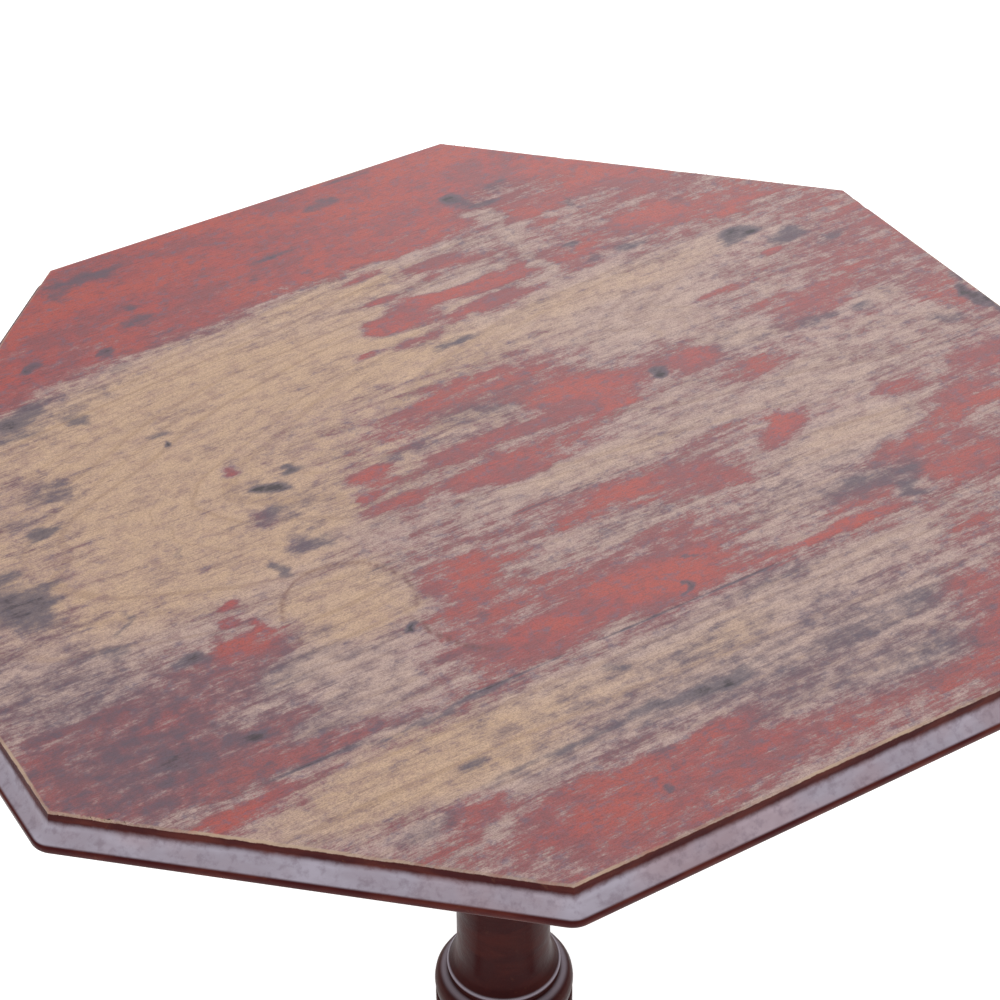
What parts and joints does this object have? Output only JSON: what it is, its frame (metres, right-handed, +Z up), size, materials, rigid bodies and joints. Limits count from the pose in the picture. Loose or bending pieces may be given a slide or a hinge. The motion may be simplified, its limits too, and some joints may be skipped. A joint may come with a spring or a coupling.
{
  "type": "tilt top table",
  "caption": "Octagonal painted tilt top table with a moulded edge, a turned column, cabriole legs and a sliding catch.",
  "frame": {"origin": "on the floor, under the middle of the top and on the column's axis", "axes": "+Z up, X along the grain of the top and along the pivot pins, Y across the boards and along the battens"},
  "size_m": [0.8186, 0.7486, 0.72],
  "materials": {
    "worn_red_paint": "red paint worn through to bare wood",
    "dark_red_paint": "old dark red-brown paint, satin",
    "old_bare_wood": "unpainted, aged, matt",
    "forged_iron": "hand-forged, dark",
    "old_brass": "tarnished"
  },
  "bodies": {
    "base": {"column": "dark_red_paint", "tenon_wedge": "old_bare_wood", "block": "old_bare_wood", "pivot_pin_left": "forged_iron", "pivot_pin_right": "forged_iron", "strike_plate": "old_brass", "strike_screw_left": "forged_iron", "strike_screw_right": "forged_iron", "leg_back": "dark_red_paint", "leg_left": "dark_red_paint", "leg_right": "dark_red_paint", "brace_plate": "forged_iron", "brace_nail_back_1": "forged_iron", "brace_nail_back_2": "forged_iron", "brace_nail_back_3": "forged_iron", "brace_nail_left_1": "forged_iron", "brace_nail_left_2": "forged_iron", "brace_nail_left_3": "forged_iron", "brace_nail_right_1": "forged_iron", "brace_nail_right_2": "forged_iron", "brace_nail_right_3": "forged_iron"},
    "top": {"front_board": "worn_red_paint", "narrow_board": "worn_red_paint", "wide_board": "worn_red_paint", "back_board": "worn_red_paint", "batten_left": "old_bare_wood", "batten_right": "old_bare_wood", "batten_screw_left_1": "forged_iron", "batten_screw_left_2": "forged_iron", "batten_screw_left_3": "forged_iron", "batten_screw_left_4": "forged_iron", "batten_screw_left_5": "forged_iron", "batten_screw_right_1": "forged_iron", "batten_screw_right_2": "forged_iron", "batten_screw_right_3": "forged_iron", "batten_screw_right_4": "forged_iron", "batten_screw_right_5": "forged_iron", "catch_plate": "old_brass", "catch_screw_1": "forged_iron", "catch_screw_2": "forged_iron", "catch_screw_3": "forged_iron", "catch_screw_4": "forged_iron"},
    "catch": {"catch_bolt": "forged_iron", "catch_knob": "old_brass"}
  },
  "joints": [
    {"name": "top_tilt", "type": "hinge", "parent": "base", "child": "top", "pos_m": [0, -0.0518, 0.6745], "axis": [1, 0, 0], "range_deg": [0, 90]},
    {"name": "bolt_slide", "type": "slide", "parent": "top", "child": "catch", "axis": [0, -1, 0], "range_m": [0, 0.014]}
  ]
}
